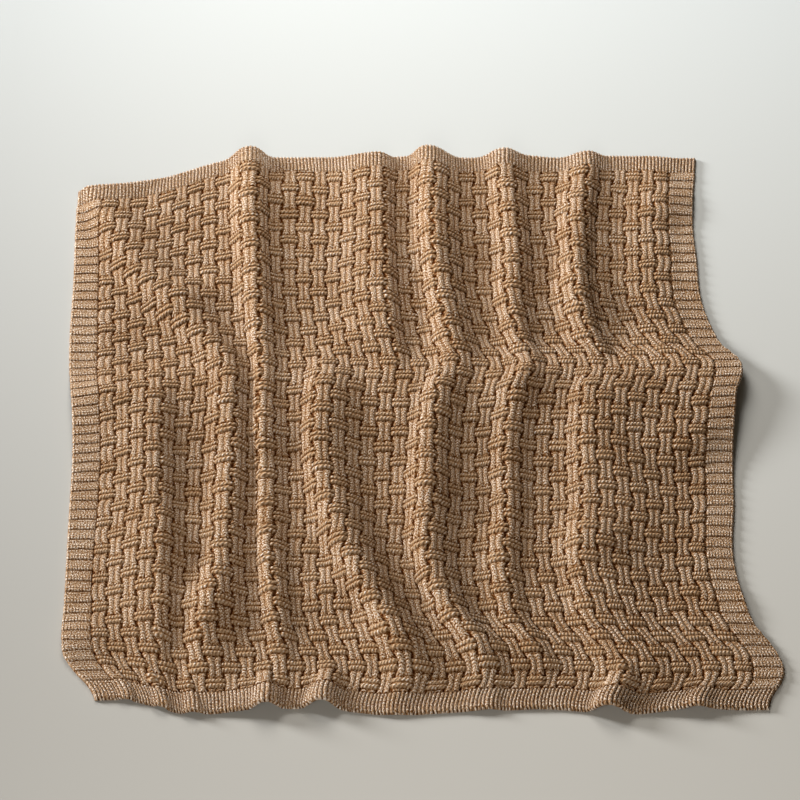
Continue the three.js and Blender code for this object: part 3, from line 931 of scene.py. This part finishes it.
def push_at(column, down):
    return push_for((down - HEM) / BAND_PITCH - FIRST_BAND - STAGGER * (column % 2))


def groove_line(k, down):
    """The groove before column k. A band pushes the grooves beside it outwards."""
    inner = (k > 0) & (k < COLUMNS)
    return SIDE_BORDER + k * COLUMN + np.where(inner, WAIST * push_at(k - 1, down), 0)


def column_shares(column, down):
    """The lines of points over one column, as shares of its width: a groove, then the two halves."""
    push = push_at(column, down)
    strand_half = STRAND_REACH + STRAND_SQUEEZE * np.minimum(push, 0)
    strand = STRAND_LINES * strand_half / (COLUMN / 2 + WAIST * push)
    lines = np.where(push > push_for(BAND_EDGE / BAND_PITCH), BAND_LINES, strand)
    return np.hstack([np.zeros_like(down), (1 - lines[:, :0:-1]) / 2, (1 + lines) / 2])


# %% The panels of the basket weave
def body_panel(number, first, last):
    down = body_rows[:, None]
    shares = [k + column_shares(k, down) for k in range(first, last)]
    steps = np.hstack(shares + [np.full_like(down, last)])
    column = np.minimum(np.floor(steps + SAME_PLACE).astype(int), last - 1)
    share = steps - column
    down = np.repeat(down, steps.shape[1], 1)
    place = groove_line(column, down) * (1 - share) + groove_line(column + 1, down) * share
    flat = SIDE_BORDER + steps * COLUMN
    back_columns = np.arange(0, steps.shape[1], len(BAND_LINES))
    lattice = Lattice(flat, place, down, down, back_body_rows, back_columns)
    return cloth_piece(f"basket_weave_{number}", lattice, basket_tree, basket_yarn, long_axis=1, lengths=3)


panel_ends = np.round(np.linspace(0, COLUMNS, PANELS + 1)).astype(int)
panels = [body_panel(i + 1, a, b) for i, (a, b) in enumerate(zip(panel_ends, panel_ends[1:]))]


# %% [markdown]
# The side borders and hems. A swelling ridge also pushes the edge of the cloth outwards a little, which
# gives the sides their fine scallops, and the ribs do the same to the hems.

# %% The side borders
WELT_LINES = np.array([0, 0.05, 0.14, 0.28, 0.44, 0.6, 0.75, 0.87, 0.95])  # as shares of one ridge
EDGE_LINES = [0, 0.4, 1.1, 2.2, 3.3, 4.6, 6.5, 9, 12, 15.5, 19, 23, 27, 31, 35, 39]
SEAM_LINES = [42.5, 45.5, 47.5, 49, 50.1, 50.75]
WELT_SCALLOP, WELT_SCALLOP_REACH = 0.0012, 0.012
SWELL_EARLY, SWELL_ROUND = 0.8, 0.62
BORDER_BACK_ROWS, BORDER_BACK_LINES = 6, 3  # the back has every 6th row, and every 3rd line
NUDGE = 1e-6  # keeps a row that starts a ridge in that ridge

welt_rows = HEM + WELT_PITCH * np.append((np.arange(WELTS)[:, None] + WELT_LINES).ravel(), WELTS)
from_rim = np.array(EDGE_LINES + SEAM_LINES) / 1000


def side_border(name, on_left):
    lines = from_rim if on_left else WIDTH - from_rim[::-1]
    flat, down = np.meshgrid(lines, welt_rows)
    rim = np.minimum(flat, WIDTH - flat)
    share = ((down - HEM) / WELT_PITCH + NUDGE) % 1
    swell = np.sin(np.pi * share**SWELL_EARLY) ** SWELL_ROUND
    push = WELT_SCALLOP * swell * smooth(1 - rim / WELT_SCALLOP_REACH)
    place = flat + (-push if on_left else push)
    back_rows = np.arange(0, len(welt_rows), BORDER_BACK_ROWS)
    back_columns = np.arange(0, len(lines), BORDER_BACK_LINES)
    lattice = Lattice(flat, place, down, down, back_rows, back_columns)
    return cloth_piece(name, lattice, welt_tree, welt_yarn, long_axis=1, lengths=6)


left_border = side_border("left_side_border", True)
right_border = side_border("right_side_border", False)

# %% The hems
RIB_LINES = np.array([0, 0.08, 0.28, 0.5, 0.72, 0.92])  # as shares of one rib
FROM_SEAM = np.array([0, 0.4, 1.3, 3, 7, 12, 18, 24, 30, 36, 40.5, 42.5, 44, 45.1, 45.7, 46]) / 1000
RIB_SCALLOP, RIB_SCALLOP_REACH = 0.0016, 0.007
HEM_BACK_ROWS, HEM_BACK_LINES = 3, 12

rib_lines = RIB * np.append((np.arange(RIBS)[:, None] + RIB_LINES).ravel(), RIBS)


def hem(name, is_near):
    lines = LENGTH - HEM + FROM_SEAM if is_near else HEM - FROM_SEAM[::-1]
    flat, down = np.meshgrid(rib_lines, lines)
    rim = np.minimum(down, LENGTH - down)
    cord = np.sqrt(np.clip(1 - (2 * ((flat / RIB + NUDGE) % 1) - 1) ** 2, 0, 1))
    push = RIB_SCALLOP * cord * smooth(1 - rim / RIB_SCALLOP_REACH)
    place_down = down + (push if is_near else -push)
    back_rows = np.arange(0, len(lines), HEM_BACK_ROWS)
    back_columns = np.arange(0, len(rib_lines), HEM_BACK_LINES)
    lattice = Lattice(flat, flat, down, place_down, back_rows, back_columns)
    return cloth_piece(name, lattice, rib_tree, rib_yarn, long_axis=0, lengths=6)


far_hem = hem("far_hem", False)
near_hem = hem("near_hem", True)

# %% [markdown]
# Every piece rides on the one body and stands for the solid, whose own mesh is hidden. The list also gives
# each piece's size when flat.

# %% What each piece is
sheets = [(panel, (columns * COLUMN, BODY)) for panel, columns in zip(panels, np.diff(panel_ends))]
sheets += [(left_border, (SIDE_BORDER, BODY)), (right_border, (SIDE_BORDER, BODY))]
sheets += [(far_hem, (WIDTH, HEM)), (near_hem, (WIDTH, HEM))]
for piece, flat_size in sheets:
    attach(piece, "root")
    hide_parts("throw")
print(len(sheets), "sheets")

# %% [markdown]
# A plain pale floor. Its tone goes from a warmer near part to a cooler far one, and it is a little lighter
# on the right, to even out the fall-off of a light that comes from the left.

# %% The floor
FLOOR_REACH = 9
NEAR_TONE, FAR_TONE = (0.535, 0.532, 0.505, 1), (0.545, 0.592, 0.615, 1)
TONE_STARTS, TONE_LENGTH = 0.7, 2.2
EVENED, EVENED_REACH = 0.3, 0.8

corners = [(-1, -1), (1, -1), (1, 1), (-1, 1)]
floor_mesh = bpy.data.meshes.new("Floor")
floor_mesh.from_pydata([(x * FLOOR_REACH, y * FLOOR_REACH, 0) for x, y in corners], [], [(0, 1, 2, 3)])
floor = bpy.data.objects.new("Floor", floor_mesh)
bpy.context.scene.collection.objects.link(floor)
floor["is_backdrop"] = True
pale = bpy.data.materials.new("Pale floor")
pale.use_nodes = True
pale_tree = pale.node_tree
pale_tree.nodes.clear()
spot = node(pale_tree, "ShaderNodeTexCoord", None, None, out="Object")
floor_x, floor_y, _ = parts_of(pale_tree, spot)
farness = ((floor_y + TONE_STARTS) / TONE_LENGTH).clamped()
mixed = {0: farness, 6: NEAR_TONE, 7: FAR_TONE}  # sockets 6 and 7 take the two colours
floor_colour = node(pale_tree, "ShaderNodeMix", {"data_type": "RGBA"}, mixed, out=2)
lighter = floor_x.least(EVENED_REACH).most(-EVENED_REACH) * EVENED + 1
evened = node(pale_tree, "ShaderNodeVectorMath", {"operation": "SCALE"}, {0: floor_colour, "Scale": lighter})
matt = {"Base Color": evened, "Roughness": 0.6}
floor_shader = node(pale_tree, "ShaderNodeBsdfPrincipled", None, matt)
pale_tree.links.new(floor_shader.socket, pale_tree.nodes.new("ShaderNodeOutputMaterial").inputs[0])
floor_mesh.materials.append(pale)
print("floor with", len(pale_tree.nodes), "nodes in its material")

# %% [markdown]
# Soft daylight. It comes from far left and a little low, as from a window, so each cord and fold has a lit
# side and a soft dark one. Two weak lights, one above the far side and one before the near hem, open the
# shadows a little, and so does a faint warm light from all round, as pale walls would throw back.

# %% The lights
def soft_light(name, place, aim, size, watts, colour):
    data = bpy.data.lights.new(name, "AREA")
    data.shape, data.size, data.energy, data.color = "DISK", size, watts, colour
    lamp = bpy.data.objects.new(name, data)
    lamp.location = place
    lamp.rotation_euler = (Vector(aim) - Vector(place)).to_track_quat("-Z", "Y").to_euler()
    bpy.context.scene.collection.objects.link(lamp)


Light = namedtuple("Light", "name place aim size watts colour")
LIGHTS = [
    Light("Window", (-7.25, 3.4, 2.4), (0, 0, 0), 2.4, 1110, (1.0, 0.985, 0.965)),
    Light("Far opening", (-0.5, 2.0, 1.7), (0, 0.5, 0), 1.6, 52, (1.0, 0.95, 0.88)),
    Light("Near opening", (-0.6, -2.6, 1.3), (0, -0.85, 0), 1.2, 24, (1.0, 0.94, 0.86)),
]
for light in LIGHTS:
    soft_light(*light)
ALL_ROUND, ALL_ROUND_STRENGTH = (1.0, 0.82, 0.60, 1), 0.05
world = bpy.data.worlds.new("Daylight")
bpy.context.scene.world = world
world.use_nodes = True
world.node_tree.nodes["Background"].inputs[0].default_value = ALL_ROUND
world.node_tree.nodes["Background"].inputs[1].default_value = ALL_ROUND_STRENGTH
bpy.context.scene.view_settings.view_transform = "Standard"
print(len(bpy.data.lights), "soft lights")

# %% [markdown]
# The camera looks down at the throw from the front with a long lens, so the far hem is only a little
# narrower than the near one. Its aim and lens are worked out so that the throw fills the picture as it
# does in the photograph.

# %% The camera
ELEVATION, DISTANCE = math.radians(42), 9.0
PICTURE = 800  # pixels
FRAME = {"left": 62, "right": 780, "top": 152, "bottom": 708}  # where the throw ends in it
CLIP_END = 60
AIM_ROUNDS, THINNED = 6, 8  # every 8th point of the sheet is enough to aim by

camera_data = bpy.data.cameras.new("Camera")
camera = bpy.data.objects.new("Camera", camera_data)
bpy.context.scene.collection.objects.link(camera)
bpy.context.scene.camera = camera
away = np.array([0, -math.cos(ELEVATION), math.sin(ELEVATION)])
upwards = np.array([0, math.sin(ELEVATION), math.cos(ELEVATION)])
cloth = sheet[::THINNED, ::THINNED].reshape(-1, 3)
wanted_x = (FRAME["left"] + FRAME["right"]) / 2 / PICTURE - 0.5
wanted_y = 0.5 - (FRAME["top"] + FRAME["bottom"]) / 2 / PICTURE
aim = np.zeros(3)
for _ in range(AIM_ROUNDS):
    seen = cloth - (aim + away * DISTANCE)
    depth_seen = -(seen @ away)
    x, y = seen[:, 0] / depth_seen, (seen @ upwards) / depth_seen
    zoom = (FRAME["right"] - FRAME["left"]) / PICTURE / np.ptp(x)
    aim[0] += ((x.min() + x.max()) / 2 - wanted_x / zoom) * DISTANCE
    aim += upwards * ((y.min() + y.max()) / 2 - wanted_y / zoom) * DISTANCE
camera_data.lens = float(camera_data.sensor_width * zoom)
camera.location = Vector(aim + away * DISTANCE)
camera.rotation_euler = Vector(away).to_track_quat("Z", "Y").to_euler()
camera_data.clip_end = CLIP_END
print("lens", round(camera_data.lens), "mm")
print("the throw spans, px:", round(PICTURE * zoom * np.ptp(x)), round(PICTURE * zoom * np.ptp(y)))

# %% The size of what is shown, and the end
low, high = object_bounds()
print("visual, mm:", [round(1000 * (b - a)) for a, b in zip(low, high)])
